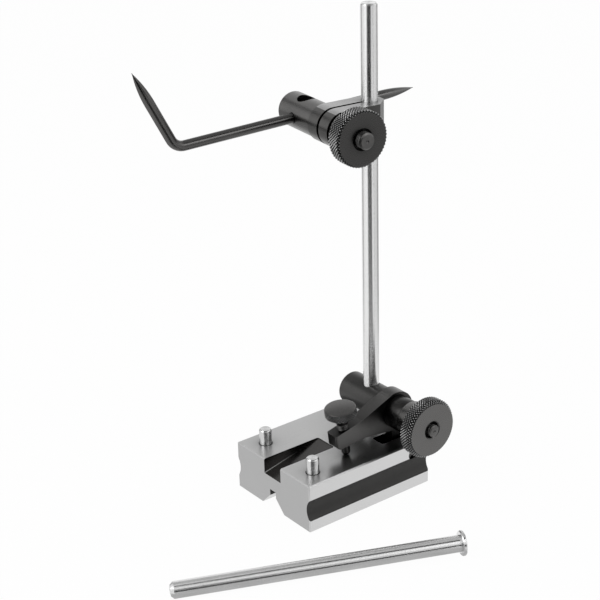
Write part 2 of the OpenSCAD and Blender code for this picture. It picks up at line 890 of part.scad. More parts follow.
base_block();
guide_pin_near();
guide_pin_far();
pin_ring_near();
pin_ring_far();
rocker_pivot_pin();
rocker_spring();
rocker_arm();
fine_adjust_screw();
spindle_barrel();
spindle_bolt();
clamp_spacer();
clamp_knob();
spindle();
spindle_clamp_body();
scriber_washer();
scriber_barrel();
scriber_bolt();
scriber_nut();
scriber();
short_spindle();
short_spindle_collar();
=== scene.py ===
# %% [markdown]
# A surface gauge is a toolmaker's instrument. A heavy ground block slides on a
# flat plate, and a scriber on a tall spindle marks or compares heights. This
# lesson dresses a finished CAD model of one in Blender. The CAD says where each
# piece is, so nothing is fitted by eye: we load it, and then make the surfaces.

# %% Load the CAD model
import math

import bmesh
import bpy
from mathutils import Matrix, Vector


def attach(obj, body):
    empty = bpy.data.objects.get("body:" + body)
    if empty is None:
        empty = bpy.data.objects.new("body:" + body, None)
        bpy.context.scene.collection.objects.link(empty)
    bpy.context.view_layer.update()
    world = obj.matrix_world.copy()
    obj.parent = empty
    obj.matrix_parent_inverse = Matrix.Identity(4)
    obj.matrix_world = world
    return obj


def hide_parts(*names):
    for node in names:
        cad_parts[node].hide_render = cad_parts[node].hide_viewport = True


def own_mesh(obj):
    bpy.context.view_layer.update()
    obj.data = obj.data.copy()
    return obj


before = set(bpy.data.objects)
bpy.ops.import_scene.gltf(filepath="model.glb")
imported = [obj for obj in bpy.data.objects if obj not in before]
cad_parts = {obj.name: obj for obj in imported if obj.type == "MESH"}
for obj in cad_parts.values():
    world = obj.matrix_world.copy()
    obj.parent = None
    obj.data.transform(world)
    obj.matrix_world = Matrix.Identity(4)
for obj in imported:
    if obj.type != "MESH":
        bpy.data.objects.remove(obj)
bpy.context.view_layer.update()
MM = 0.001

# %% [markdown]
# The photograph was taken with a long lens from a little above. A vertical rod
# that leans in the picture tells of the camera's roll, and the block's edges tell
# of its distance. The camera is built from those angles instead of by dragging,
# so it gives the same picture each time.

# %% Camera
CAMERA_PLACE = Vector((-428.65, -541.20, 405.40)) * MM
CAMERA_AZIMUTH = math.radians(-37.1645)
CAMERA_ELEVATION = math.radians(23.7513)
CAMERA_ROLL = math.radians(-1.496)
SENSOR_WIDTH = 36
FOCAL_LENGTH = 94.57


def horizontal(azimuth):
    """The flat direction from the object towards a viewer at that azimuth."""
    return Vector((math.sin(azimuth), -math.cos(azimuth), 0))


def make_camera():
    data = bpy.data.cameras.new("camera")
    data.sensor_width = SENSOR_WIDTH
    data.lens = FOCAL_LENGTH
    camera = bpy.data.objects.new("camera", data)
    bpy.context.scene.collection.objects.link(camera)
    back = horizontal(CAMERA_AZIMUTH) * math.cos(CAMERA_ELEVATION)
    back.z = math.sin(CAMERA_ELEVATION)
    level = Vector((math.cos(CAMERA_AZIMUTH), math.sin(CAMERA_AZIMUTH), 0))
    upright = back.cross(level)
    right = level * math.cos(CAMERA_ROLL) + upright * math.sin(CAMERA_ROLL)
    up = back.cross(right)
    turn = Matrix((right, up, back)).transposed().to_4x4()
    camera.matrix_world = Matrix.Translation(CAMERA_PLACE) @ turn
    bpy.context.scene.camera = camera
    return camera


camera = make_camera()
bpy.context.scene.view_settings.view_transform = "Standard"
print("camera at", [round(x, 3) for x in camera.matrix_world.translation])

# %% [markdown]
# Shaders are sums, and sums read best as sums. This class wraps one socket, and
# its operators add Math nodes, so that a mask can be written as 1 - mask, and two
# masks join with a bar. Every other node comes from its node method: the type,
# the settings that come first, then the values or links of the sockets.


# %% A socket that can stand in a sum
class Wire:
    """One output socket of a node tree."""

    def __init__(self, tree, socket=None):
        self.tree = tree
        self.socket = socket

    def node(self, kind, settings=None, values=None, out=0):
        made = self.tree.nodes.new(kind)
        for key, value in (settings or {}).items():
            setattr(made, key, value)
        plug(made, values or {})
        return Wire(self.tree, made.outputs[out])

    def sum(self, operation, first, second=0.0):
        values = {0: first, 1: second}
        return self.node("ShaderNodeMath", {"operation": operation}, values)

    def __add__(self, other):
        return self.sum("ADD", self, other)

    def __sub__(self, other):
        return self.sum("SUBTRACT", self, other)

    def __rsub__(self, other):
        return self.sum("SUBTRACT", other, self)

    def __mul__(self, other):
        return self.sum("MULTIPLY", self, other)

    def __truediv__(self, other):
        return self.sum("DIVIDE", self, other)

    def __pow__(self, other):
        return self.sum("POWER", self, other)

    def __gt__(self, other):
        return self.sum("GREATER_THAN", self, other)

    def __lt__(self, other):
        return self.sum("LESS_THAN", self, other)

    def __or__(self, other):
        return self.sum("MAXIMUM", self, other)

    def __abs__(self):
        return self.sum("ABSOLUTE", self)

    __radd__ = __add__
    __rmul__ = __mul__
    __ror__ = __or__

    def at_least(self, low):
        return self.sum("MAXIMUM", self, low)

    def at_most(self, high):
        return self.sum("MINIMUM", self, high)


def plug(node, values):
    """Sets or links a node's sockets."""
    for key, value in values.items():
        if isinstance(value, Wire):
            node.id_data.links.new(value.socket, node.inputs[key])
        else:
            node.inputs[key].default_value = value


print("operators ready")

# %% [markdown]
# A Math node would turn a colour grey, so colours go through a Mix node instead.
# Real steel is never one flat grey either: most finishes here wander between
# two levels, which are written as a pair.


# %% Greys
def mix(start, share, first, second):
    """A colour between two others."""
    colours = {"data_type": "RGBA"}
    values = {0: share, 6: first, 7: second}
    return start.node("ShaderNodeMix", colours, values, out=2)


def grey(level, warm=0.0):
    """A linear grey, a little warmer or cooler."""
    return (level * (1 + warm), level, level * (1 - warm), 1)


def between(start, share, levels, warmth=(0.0, 0.0)):
    """A grey that wanders between two levels."""
    low, high = (grey(level, warm) for level, warm in zip(levels, warmth))
    return mix(start, share, low, high)


print("a slightly warm grey:", grey(0.5, 0.02))

# %% [markdown]
# The gauge was photographed on white. The floor is white to the camera and to
# what reflects in the steel, but a part of it is an ordinary matt surface, so
# that the gauge keeps a soft shadow to stand on. The world is white too where
# it is seen or mirrored, and plain daylight level for what it lights.

# %% Floor and world
FLOOR_HALF = 6.0
FLOOR_GLOW = 0.97
DAYLIGHT = 0.55


def seen_directly(start):
    """1 for rays of the camera, of reflections and of glass."""
    path = start.node("ShaderNodeLightPath")
    outputs = path.socket.node.outputs
    names = ("Is Camera Ray", "Is Glossy Ray", "Is Transmission Ray")
    rays = [Wire(start.tree, outputs[name]) for name in names]
    return (rays[0] + rays[1] + rays[2]).at_most(1.0)


def flat_sheet(name, corners, faces, material):
    """A sheet of the studio, from its corners."""
    mesh = bpy.data.meshes.new(name)
    mesh.from_pydata(corners, [], faces)
    mesh.materials.append(material)
    sheet = bpy.data.objects.new(name, mesh)
    bpy.context.scene.collection.objects.link(sheet)
    return sheet


def make_floor():
    material = bpy.data.materials.new("white_floor")
    material.use_nodes = True
    start = Wire(material.node_tree)
    grain = start.node("ShaderNodeTexNoise", None, {"Scale": 40.0, "Detail": 3.0})
    paint = between(start, grain, (0.86, 0.9))
    matt = start.node("ShaderNodeBsdfDiffuse", None, {"Color": paint})
    light = {"Color": grey(1.0), "Strength": 1.0}
    lit = start.node("ShaderNodeEmission", None, light)
    share = seen_directly(start) * FLOOR_GLOW
    shade = start.node("ShaderNodeMixShader", None, {0: share, 1: matt, 2: lit})
    plug(material.node_tree.nodes["Material Output"], {"Surface": shade})
    ways = ((-1, -1), (1, -1), (1, 1), (-1, 1))
    corners = [(x * FLOOR_HALF, y * FLOOR_HALF, 0) for x, y in ways]
    floor = flat_sheet("floor", corners, [(0, 1, 2, 3)], material)


def make_world():
    world = bpy.data.worlds.new("studio")
    bpy.context.scene.world = world
    world.use_nodes = True
    seen = seen_directly(Wire(world.node_tree))
    light = {"Color": grey(1.0), "Strength": seen + (1 - seen) * DAYLIGHT}
    plug(world.node_tree.nodes["Background"], light)


make_floor()
make_world()
print("floor and world ready")

# %% [markdown]
# Two softboxes light the gauge, one from each side. A mirror sees a lamp as a
# bright patch, so the power follows from the level that the patch should have
# and from the lamp's area.

# %% Softboxes
AIM = Vector((0, -0.02, 0.1))


def softbox(name, azimuth, elevation, distance, width, height, level):
    """A rectangular lamp, as bright to a mirror as level times white."""
    data = bpy.data.lights.new(name, "AREA")
    data.shape = "RECTANGLE"
    data.size, data.size_y = width, height
    data.energy = level * math.pi * width * height
    lamp = bpy.data.objects.new(name, data)
    bpy.context.scene.collection.objects.link(lamp)
    turn, rise = math.radians(azimuth), math.radians(elevation)
    way = horizontal(turn) * math.cos(rise) + Vector((0, 0, math.sin(rise)))
    lamp.location = AIM + way * distance
    lamp.rotation_mode = "QUATERNION"
    lamp.rotation_quaternion = (-way).to_track_quat("-Z", "Y")


softbox(
    "softbox_left", azimuth=-100, elevation=38, distance=1.3,
    width=0.9, height=1.0, level=2.2,
)
softbox(
    "softbox_right", azimuth=25, elevation=42, distance=1.4,
    width=0.7, height=0.9, level=1.5,
)

# %% [markdown]
# Polished rods show the studio as long stripes, and a photographer draws those
# with cards. A card here glows at a set level and shows in reflections only: the
# camera doesn't see it, and it throws no shadow. The spindle's dark stripe is
# the floor and the wall on the camera's side, and the greys beside it are the
# floor further round. The cards on the floor come first.

# %% Cards on the floor
WALL_DISTANCE = 1.5
ROUND_CARDS = (
    (0.72, (12, 30, 50, 70)), (0.4, (70, 90, 115)), (0.5, (-178, -160, -142)),
)


def card(name, corners, level):
    """A card that shows only in reflections, at a level of white."""
    material = bpy.data.materials.new(name)
    material.use_nodes = True
    start = Wire(material.node_tree)
    cloth = start.node("ShaderNodeTexNoise", None, {"Scale": 15.0})
    colour = between(start, cloth, (level * 0.8, level * 1.2))
    light = {"Color": colour, "Strength": 1.0}
    shown = start.node("ShaderNodeEmission", None, light)
    plug(material.node_tree.nodes["Material Output"], {"Surface": shown})
    strips = len(corners) // 2 - 1
    faces = [(2 * i, 2 * i + 1, 2 * i + 3, 2 * i + 2) for i in range(strips)]
    made = flat_sheet(name, corners, faces, material)
    made.visible_camera = made.visible_diffuse = False
    made.visible_shadow = made.visible_transmission = False


def ring_point(azimuth, distance, height):
    """A point round the gauge, by its azimuth in degrees."""
    flat = horizontal(math.radians(azimuth)) * distance
    return (flat.x, flat.y, height)


def floor_strip(azimuths, near, far, lift):
    """The corners of a strip that lies between two distances."""
    return [ring_point(a, d, lift) for a in azimuths for d in (near, far)]


def floor_cards():
    """The cards that lie on the floor, each a hair above the one below it."""
    lowest, middle, topmost = 0.0003, 0.0004, 0.0005
    near, beyond = 0.19, 0.42
    in_front = [
        (-0.138, -0.072, middle), ring_point(-67, beyond, middle),
        (0.002, -0.140, middle), ring_point(-14, beyond, middle),
    ]
    further_out = floor_strip((-70, -50, -30, -14), beyond, WALL_DISTANCE, middle)
    by_the_rod = [
        (-0.125, -0.029, topmost), (-0.158, -0.115, topmost),
        (0.010, -0.090, topmost), (-0.033, -0.173, topmost),
    ]
    card("card_near", in_front, level=0.1)
    card("card_far", further_out, level=0.0)
    card("card_rod", by_the_rod, level=0.55)
    for level, azimuths in ROUND_CARDS:
        card("card_round", floor_strip(azimuths, near, WALL_DISTANCE, lowest), level)


floor_cards()

# %% [markdown]
# The other cards stand or hang well away from the gauge. A low wall goes on where
# the dark floor ends, one more stands behind the camera, a roof takes the glare
# off the top faces, a dark beam draws the fine line along the short spindle,
# and a post on each side gives the rods a dark edge against the white world.


# %% Cards that stand or hang
def upright_strip(azimuths, distance, low, high):
    """The corners of a strip that stands between two heights."""
    return [ring_point(a, distance, z) for a in azimuths for z in (low, high)]


def standing_cards():
    """The walls on the camera's side, a roof, a beam and a post on each side."""
    wall_top, camera_top, roof, beam = 0.36, 1.0, 2.2, 0.95
    post_distance, post_half, post_foot, post_top = 1.1, 7, 0.001, 0.9
    wall = upright_strip(range(-70, 21, 10), WALL_DISTANCE, 0.0, wall_top)
    behind_camera = upright_strip((-55, -40, -25), WALL_DISTANCE, wall_top, camera_top)
    overhead = [
        (-0.75, -0.27, beam), (0.55, -0.87, beam),
        (-0.66, 0.10, beam), (0.64, -0.50, beam),
    ]
    card("card_wall", wall, level=0.02)
    card("card_camera", behind_camera, level=0.02)
    card("card_roof", [(x, y, roof) for x in (-2, 2) for y in (-2, 2.8)], level=0.55)
    card("card_above", overhead, level=0.0)
    for side, azimuth in (("left", -168), ("right", 92)):
        sides = (azimuth - post_half, azimuth + post_half)
        post = upright_strip(sides, post_distance, post_foot, post_top)
        card("card_" + side, post, level=0.03)


standing_cards()

# %% [markdown]
# Ground steel is nearly a mirror that fine parallel scratches have made blurry.
# A noise stretched a hundred times along the wheel's travel gives the scratches,
# and a second, wide one the faint clouds that handling leaves. The scratches
# go into a bump and into the roughness, which is what makes them glint. Two more
# nodes look at the shape itself: Bevel finds the edges, where its softened
# normal disagrees with the true one, and Ambient Occlusion the shaded corners.


# %% Helpers for finishes
EDGE_GAIN = 6.0


def new_finish(name):
    """A material, with its first wire, the place on the piece and the shader."""
    material = bpy.data.materials.new(name)
    material.use_nodes = True
    start = Wire(material.node_tree)
    place = start.node("ShaderNodeTexCoord", out=3)
    return material, start, place, material.node_tree.nodes["Principled BSDF"]


def axes(start, place):
    """The three parts of a place, in metres."""
    split = start.node("ShaderNodeSeparateXYZ", None, {0: place})
    return [Wire(start.tree, socket) for socket in split.socket.node.outputs]


def facing(start):
    """The three parts of the way that a surface faces, on the piece itself."""
    return axes(start, start.node("ShaderNodeTexCoord", out=1))


def within(value, low, high):
    return (value > low) * (value < high)


def scratches(start, place, stretch, detail=3.0):
    """A noise drawn out along an axis: stretch gives its lines per metre."""
    multiply = {"operation": "MULTIPLY"}
    drawn = start.node("ShaderNodeVectorMath", multiply, {0: place, 1: stretch})
    values = {"Vector": drawn, "Scale": 1.0, "Detail": detail, "Roughness": 0.6}
    return start.node("ShaderNodeTexNoise", None, values)


def clouds(start, place, scale, detail=4.0):
    values = {"Vector": place, "Scale": scale, "Detail": detail}
    return start.node("ShaderNodeTexNoise", None, values)


def bump(start, height, distance, strength):
    values = {"Strength": strength, "Distance": distance, "Height": height}
    return start.node("ShaderNodeBump", None, values)


def worn_edges(start, radius):
    """1 on sharp edges and 0 on open faces."""
    soft = start.node("ShaderNodeBevel", {"samples": 4}, {"Radius": radius})
    true = start.node("ShaderNodeNewGeometry", out=1)
    dot = {"operation": "DOT_PRODUCT"}
    same = start.node("ShaderNodeVectorMath", dot, {0: soft, 1: true}, out=1)
    return ((1 - same) * EDGE_GAIN).at_most(1.0)


def open_sky(start, reach=0.02):
    """1 on open faces, and less in corners that other pieces shade."""
    values = {"Distance": reach}
    return start.node("ShaderNodeAmbientOcclusion", {"samples": 8}, values, out=1)


print("helpers ready")

# %% [markdown]
# The rods are ground between wheels while they spin, so their scratches are rings.
# Rings spread a reflection along the rod and keep it sharp across, which is what
# anisotropy does. That is one number for the whole rod, so it is set on the
# shader's own socket.

# %% Ground rods
RING_LINES = 9000.0


def rod_steel(name, level, roughness):
    """Ground rod: rings of fine scratches round its own Z axis."""
    material, start, place, shader = new_finish(name)
    rings = scratches(start, place, (300.0, 300.0, RING_LINES))
    wide = clouds(start, place, scale=90.0)
    levels = (level * 0.93, level * 1.05)
    plug(shader, {
        "Base Color": between(start, rings * 0.5 + wide * 0.5, levels),
        "Metallic": 1.0,
        "Roughness": rings * 0.08 + (roughness - 0.04),
        "Anisotropic": 0.9, "Anisotropic Rotation": 0.25,
        "Normal": bump(start, rings, distance=0.000004, strength=0.5),
    })
    return material


bright_steel = rod_steel("bright_steel", 0.78, 0.26)
# pin_steel and spare_steel are darker copies of the spindle's steel, as painted shade.
pin_steel = rod_steel("pin_steel", 0.62, 0.18)
spare_steel = rod_steel("spare_steel", 0.73, 0.26)
spring_steel = rod_steel("spring_steel", 0.42, 0.30)
print("made", bright_steel.name, pin_steel.name, spare_steel.name, spring_steel.name)

# %% [markdown]
# The block has two finishes. Its working faces are ground bright, while the
# hollows along its sides and the slots in its top keep the black of the bath they
# were dipped in before grinding. Both belong to one solid, so one material
# tells them apart by place: the hollows are the inside of a cylinder, and the
# slots are boxes. All the sizes are in millimetres.

# %% Where the block is black
HOLLOW = (35.027, 12.0, 8.257)
PIVOT_BORE, BORE_END = (27.6, 19.3, 2.95), -4
RELIEF_HALF, RELIEF_TOP = 2.35, 10.35
RAMP_SLOT = ((-39.0, -4.35), (-6.53, 6.53), (17.55, 25.35))
ROCKER_SLOT = ((15.45, 39.0), (-19.78, -11.72), (12.35, 25.35))
RAMP_LOW, RAMP_START, RAMP_RISE, RAMP_WALL = 17.6, -38.0, 0.2202, 6.5
# The size, the strength and the uphill fade of a painted highlight in the ramp's
# corner.
CORNER_SIZE, CORNER_SHARE, CORNER_FADE = 0.3, 0.55, 22.0


def in_round(first, second, circle):
    """1 inside a circle, given by its middle and its radius."""
    across, up, radius = (size * MM for size in circle)
    return (first - across) ** 2.0 + (second - up) ** 2.0 < radius ** 2


def in_box(parts, box):
    """1 inside a box, given by its limits along X, Y and Z."""
    masks = [within(v, low * MM, high * MM) for v, (low, high) in zip(parts, box)]
    return masks[0] * masks[1] * masks[2]


def hollows(x, y, z):
    """1 in the hollows of the sides, the relief of the sole and the pivot's bore."""
    relief = (abs(y) < RELIEF_HALF * MM) * (z < RELIEF_TOP * MM)
    bore = in_round(x, z, PIVOT_BORE) * (y < BORE_END * MM)
    return in_round(abs(y), z, HOLLOW) | relief | bore


def ramp_corner_highlight(x, y, z):
    """1 where a painted highlight lies in the small round between the ramp and its far
    wall, fading uphill.
    """
    along = x - RAMP_START * MM
    off = abs(z - along * RAMP_RISE - RAMP_LOW * MM)
    size, wall = CORNER_SIZE * MM, RAMP_WALL * MM
    near = (off < size) * (y > wall - size) * (y < wall + size / 3)
    return near * (CORNER_SHARE - along * CORNER_FADE).at_least(0.0)


print("the pivot's bore is", PIVOT_BORE[2] * 2, "mm wide")

# %% [markdown]
# A ground face looks lighter or darker by the way its scratches run against the
# light, and here that is painted into the colour: the sides get the lightest pair
# of greys, the top the middle one and the ends the darkest. Close under the arm
# the top mirrors nothing but black, and the open_sky mask deepens that with
# painted shade.

# %% The block's two finishes
GRIND_LINES = 5200.0
# Painted light: the greys of the ends, the top and the sides, by the light each
# catches.
END_GREYS, TOP_GREYS, SIDE_GREYS = (0.37, 0.475), (0.45, 0.57), (0.57, 0.67)
HOLLOW_GREYS, SLOT_GREYS = (0.026, 0.042), (0.082, 0.100)
BATH_WARMTH = (0.02, 0.03)


def block_steel():
    material, start, place, shader = new_finish("ground_steel")
    x, y, z = axes(start, place)
    slot = in_box((x, y, z), RAMP_SLOT) | in_box((x, y, z), ROCKER_SLOT)
    black = hollows(x, y, z) | slot
    lines = scratches(start, place, (60.0, GRIND_LINES, GRIND_LINES))
    wide = clouds(start, place, scale=45.0)
    streaks = lines * 0.55 + wide * 0.45
    ways = facing(start)
    ends, tops, sides = (
        between(start, streaks, levels) for levels in (END_GREYS, TOP_GREYS, SIDE_GREYS)
    )
    # Painted light: each face takes the greys of the way it faces.
    bright = mix(start, abs(ways[1]), mix(start, abs(ways[2]), ends, tops), sides)
    # Painted shade: the top goes nearly black where the arm and its parts shade it.
    shaded = (1 - open_sky(start, reach=0.025)) * (ways[2] > 0.5)
    bright = mix(start, shaded, bright, grey(0.01))
    dark = mix(
        start, slot, between(start, wide, HOLLOW_GREYS, BATH_WARMTH),
        between(start, wide, SLOT_GREYS, BATH_WARMTH),
    )
    # A painted highlight along the round between the ramp and its far wall.
    dark = mix(start, ramp_corner_highlight(x, y, z), dark, grey(0.6))
    edge = worn_edges(start, radius=0.0003) * (1 - black)
    metal = mix(start, edge * 0.25, bright, grey(0.7))
    ground_rough = (0.22 + lines * 0.1 + wide * 0.06) * (1 - black)
    grooves = lines * (1 - black * 0.6)
    plug(shader, {
        "Base Color": mix(start, black, metal, dark),
        "Metallic": 1 - (black - slot) * 0.45,
        "Roughness": ground_rough + black * 0.52 - slot * 0.30,
        "Normal": bump(start, grooves, distance=0.000012, strength=0.35),
    })
    return material


ground_steel = block_steel()
print("made", ground_steel.name)

# %% [markdown]
# Black oxide is a thin skin on steel, satin and a little uneven. It rubs off
# first on sharp edges, where the steel shows through as a thin grey line, and on
# the scriber's point it has been ground away. Faces that look up, as on the
# clamp's top, can take a painted sheen, and the corners that other pieces shade
# get painted shade. Turned pieces also keep the tool's fine rings, drawn from the
# distance to the piece's own axis. A knurled rim is coloured by depth: its tips
# are worn bright and carry a painted highlight too, and its grooves get painted
# shade.

# %% Black oxide
# CORNER_SHADE is the grey of painted shade in corners that other pieces shade.
CORNER_SHADE, POINT_GREY, WORN_GREY = 0.004, 0.16, 0.3
# A knurl's grooves get painted shade, and its tips real wear with a painted highlight
# on it.
GROOVE_SHADE, TIP_WEAR_AND_HIGHLIGHT = 0.001, 0.95
TOOL_LINES = 7000.0


def knurl_parts(reach, z, rim):
    """1 on a knurled rim, and how high its ridges stand there, from 0 to 1."""
    uphill = (z - rim["bend"] * MM).at_least(0.0)
    outside = rim["radius"] * MM - uphill * rim["slope"]
    tip = (reach - outside) / (rim["depth"] * MM) + 1
    knurled = within(z, rim["low"] * MM, rim["high"] * MM) * (tip > -0.1)
    return knurled, tip


def black_oxide(
    name, levels, roughness, turned=False, rim=None, top_sheen=0.0, point=None,
):
    """A black skin. A rim gives the sizes of a piece's knurling, in millimetres,
    and a point the place where the grinding starts and the length of its fade."""
    material, start, place, shader = new_finish(name)
    x, y, z = axes(start, place)
    reach = (x * x + y * y) ** 0.5
    wide = clouds(start, place, scale=160.0)
    fine = clouds(start, place, scale=2600.0, detail=2.0)
    skin = between(start, wide * 0.6 + fine * 0.4, levels, (0.015, 0.02))
    if point:
        ground = ((x - point[0] * MM) / (point[1] * MM)).at_least(0.0).at_most(1.0)
        skin = mix(start, ground, skin, grey(POINT_GREY))
    # Painted sheen: upward faces are lightened, as on the clamp's top.
    if top_sheen:
        painted_sheen = (facing(start)[2] > 0.9) * (wide * 0.6 + 0.6)
        skin = mix(start, painted_sheen, skin, grey(top_sheen))
    # Painted shade: darker in the corners that other pieces shade.
    skin = mix(start, open_sky(start) ** 1.5, grey(CORNER_SHADE), skin)
    worn = worn_edges(start, radius=0.00035) * (wide * 0.8 + 0.3)
    height = fine
    if turned:
        line = start.node("ShaderNodeCombineXYZ", None, {0: reach, 1: z})
        rings = scratches(start, line, (TOOL_LINES, TOOL_LINES, 1.0), detail=2.0)
        height = fine * 0.4 + rings * 0.6
    if rim:
        knurled, tip = knurl_parts(reach, z, rim)
        # Painted shade in the grooves, and worn tips with a painted highlight.
        ridge = between(start, tip ** 3.0, (GROOVE_SHADE, TIP_WEAR_AND_HIGHLIGHT))
        skin = mix(start, knurled, skin, ridge)
        worn = worn * (1 - knurled)
    plug(shader, {
        "Base Color": mix(start, worn * 0.15, skin, grey(WORN_GREY)),
        "Metallic": 1.0,
        "Roughness": fine * 0.1 + wide * 0.06 + (roughness - 0.08),
        "Normal": bump(start, height, distance=0.00001, strength=0.35),
    })
    return material


print("black oxide ready")

# %% [markdown]
# No two black pieces are equally dark, because each shows another part of the
# room and sits in its own shade. So one recipe makes them all, and each gets its
# own pair of greys and its own roughness: the greys are painted light and shade,
# lighter and darker copies of one black oxide. The spacer, the washer and the
# spindle's barrel, deep in shade, get very dark pairs. The knurled pieces get
# theirs where they are made.

# %% The black pieces' finishes
# Painted light and shade: one black oxide at a different level on each piece.
black_steel = black_oxide("black_steel", (0.130, 0.165), 0.30)
shaded_black_turned = black_oxide("black_steel_turned_shaded", (0.030, 0.050), 0.30, turned=True)
bright_black = black_oxide("black_steel_bolts", (0.08, 0.14), 0.34, turned=True)
shaded_black = black_oxide("black_steel_shaded", (0.060, 0.085), 0.30)
arm_steel = black_oxide("black_steel_arm", (0.084, 0.112), 0.30)
clamp_steel = black_oxide("black_steel_clamp", (0.095, 0.125), 0.30, top_sheen=0.43)
scriber_steel = black_oxide("scriber_steel", (0.080, 0.115), 0.26, point=(38.0, 20.0))
print("black finishes:", black_steel.name, arm_steel.name, scriber_steel.name)

# %% [markdown]
# Every new piece is a skin stretched over rows of points. The rows are joined by
# quads, and then the first and last are either closed with a flat end or joined
# to each other, which leaves a bore. The piece then rides on its CAD body, and
# stands for the node that it replaces.


# %% A skin over rows of points
def new_piece(name, rows, closed_ends, place, material, body, node):
    """A skin over rows of points, in millimetres about the piece's own origin."""
    mesh = bpy.data.meshes.new(name)
    form = bmesh.new()
    rings = [[form.verts.new(Vector(p) * MM) for p in row] for row in rows]
    pairs = list(zip(rings, rings[1:]))
    if not closed_ends:
        pairs.append((rings[-1], rings[0]))
    for low, high in pairs:
        for i in range(len(low)):
            j = (i + 1) % len(low)
            form.faces.new((low[i], low[j], high[j], high[i]))
    if closed_ends:
        form.faces.new(list(reversed(rings[0])))
        form.faces.new(rings[-1])
    bmesh.ops.recalc_face_normals(form, faces=form.faces)
    form.to_mesh(mesh)
    form.free()
    for face in mesh.polygons:
        face.use_smooth = len(face.vertices) == 4
    mesh.set_sharp_from_angle(angle=math.radians(28))
    mesh.materials.append(material)
    piece = bpy.data.objects.new(name, mesh)
    bpy.context.scene.collection.objects.link(piece)
    piece.matrix_world = place
    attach(piece, body)
    if node:
        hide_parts(node)
    print(name, len(mesh.polygons), "faces")
    return piece


print("skins ready")

# %% [markdown]
# Most of a surface gauge comes off a lathe. A turned piece is a half outline
# spun about an axis, so one helper serves them all. Each is built about its own Z
# axis and then placed by a matrix: that keeps the rings of its finish round
# its own axis, wherever it points.

# %% Turning
AROUND = 96


def spin(radius, height, count=AROUND):
    """A ring of points at one height."""
    turns = [math.tau * i / count for i in range(count)]
    return [(radius * math.cos(a), radius * math.sin(a), height) for a in turns]


def turned(name, outline, place, material, body, node, slot, bored=False):
    """A turned piece from pairs of radius and height, low end first. The outline
    of a bored one goes all the way round."""
    rows = [spin(r, z) for r, z in outline]
    new_piece(name, rows, not bored, place, material, body, node)


def turn_about(axis, degrees):
    return Matrix.Rotation(math.radians(degrees), 4, axis)


def move(x, y, z):
    return Matrix.Translation(Vector((x, y, z)) * MM)


def facing_front(x, y, z):
    """A place whose own Z axis points to the knob's side, along -Y."""
    return move(x, y, z) @ turn_about("X", 90)


def rod_outline(diameter, length, edge):
    """A rod with softly rounded ends."""
    r, step, fillet = diameter / 2, edge * 0.25, edge * 1.15
    return [
        (r - edge, 0), (r - step, edge - step), (r, fillet),
        (r, length - fillet), (r - step, length - edge + step), (r - edge, length),
    ]


print("lathe ready")

# %% [markdown]
# The rods come first: the tall spindle, the two guide pins that are pushed down
# to follow an edge, and the spare short spindle with its thin collar. In the
# CAD they are plain turned rods, so the same outlines are repeated here with
# finer, softly rounded edges.

# %% Rods
SPINDLE_X, SPINDLE_LOW, SPINDLE_LENGTH = 25.0, 30.6, 210.4
ROD_DIAMETER = 8
GUIDE_X, GUIDE_Y, GUIDE_LOW = -27.7, 18.9, 0.6
PIN_R, GROOVE_R = 3.15, 2.6
SHORT_LENGTH, COLLAR_DIAMETER, COLLAR_LENGTH = 136.1, 12, 1.8
COLLAR_STEP = (COLLAR_DIAMETER - ROD_DIAMETER) / 2
SHORT_TILT = math.degrees(math.asin(COLLAR_STEP / SHORT_LENGTH))
short_place = (
    move(-119.2, -31.1, 4) @ turn_about("Z", -24.7) @ turn_about("Y", 90 - SHORT_TILT)
)

turned(
    "spindle_rod", rod_outline(ROD_DIAMETER, SPINDLE_LENGTH, 0.6),
    move(SPINDLE_X, 0, SPINDLE_LOW),
    bright_steel, "spindle_rod", "spindle", "bright_steel",
)
pin_outline = [
    (2.35, 0), (PIN_R, 0.8), (PIN_R, 11.0), (GROOVE_R, 11.05), (GROOVE_R, 12.15),
    (PIN_R, 12.2), (PIN_R, 32.2), (3.05, 32.4), (2.55, 32.8),
]
for side, y in (("near", -GUIDE_Y), ("far", GUIDE_Y)):
    turned(
        "guide_pin_rod_" + side, pin_outline, move(GUIDE_X, y, GUIDE_LOW),
        pin_steel, "guide_" + side, "guide_pin_" + side, "bright_steel",
    )
short_outline = [
    (0.4, 0.5), (1.9, 0), (2.6, 0.05), (3.95, 1.5), (4, 1.7), (4, SHORT_LENGTH),
]
turned(
    "short_rod", short_outline, short_place,
    spare_steel, "loose_spindle", "short_spindle", "bright_steel",
)
turned(
    "short_rod_collar", rod_outline(COLLAR_DIAMETER, COLLAR_LENGTH, 0.4),
    short_place @ move(0, 0, SHORT_LENGTH),
    spare_steel, "loose_spindle", "short_spindle_collar", "bright_steel",
)

# %% [markdown]
# Knurling is pressed by two hardened wheels whose ridges lean opposite ways, and
# between their crossing grooves small pyramids stand up. It is made as real
# geometry, since it also shows in the outline of the rim. Two triangle waves
# round the rim, one leaning each way, give the depth of each groove.

# %% Knurling
PER_TOOTH = 6


def wave(x):
    """A triangle wave: 0 in a ridge's middle, 1 in a groove."""
    return abs(2 * (x - math.floor(x)) - 1)


def knurled_rows(radius, low, high, teeth, depth, slope=0.0):
    """Rows of points over a rim from height low to high, which narrows by slope."""
    pitch = math.tau * radius / teeth
    count = teeth * PER_TOOTH
    steps = max(6, round((high - low) / pitch * PER_TOOTH))
    rows = []
    for k in range(steps + 1):
        z = low + (high - low) * k / steps
        row = []
        for i in range(count):
            share = i / PER_TOOTH
            groove = max(wave(share + z / pitch), wave(share - z / pitch))
            r = radius - (z - low) * slope - depth * groove
            angle = math.tau * i / count
            row.append((r * math.cos(angle), r * math.sin(angle), z))
        rows.append(row)
    return rows


print("points for each tooth:", PER_TOOTH)

